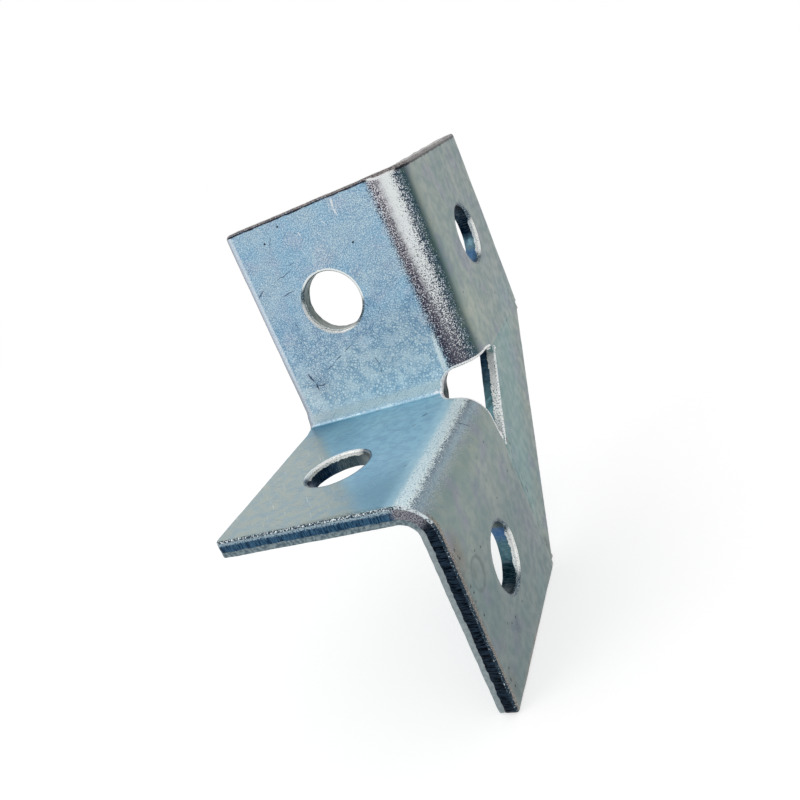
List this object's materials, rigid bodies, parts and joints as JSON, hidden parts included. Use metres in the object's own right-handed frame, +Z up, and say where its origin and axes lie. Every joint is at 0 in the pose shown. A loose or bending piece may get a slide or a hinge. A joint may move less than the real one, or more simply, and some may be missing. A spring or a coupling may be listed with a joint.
{
  "type": "right-angle connector",
  "caption": "Folded steel corner bracket for strut channel: flanges and wings at right angles, a bolt hole through each, and a corner plate welded between the wings.",
  "frame": {"origin": "centre of the lower flange's bolt hole, at the flange's top face", "axes": "+Z up, along the upper flange and along the lower flange's bolt; +X out of the wings' outer face; +Y from the lower flange's free end towards the fold, behind which the upper wing lies"},
  "size_m": [0.0415, 0.086, 0.086],
  "materials": {
    "plated_sheet": "bright zinc plating with a blue passivate, satin, with fine scratches",
    "plated_gusset": "bright zinc plating with a blue passivate, smooth satin",
    "plated_weld": "weld metal ground flush and zinc plated, with small pits"
  },
  "bodies": {
    "root": {"folded_plate": "plated_sheet", "corner_gusset": "plated_gusset", "upper_weld": "plated_weld", "lower_weld": "plated_weld"}
  },
  "joints": []
}
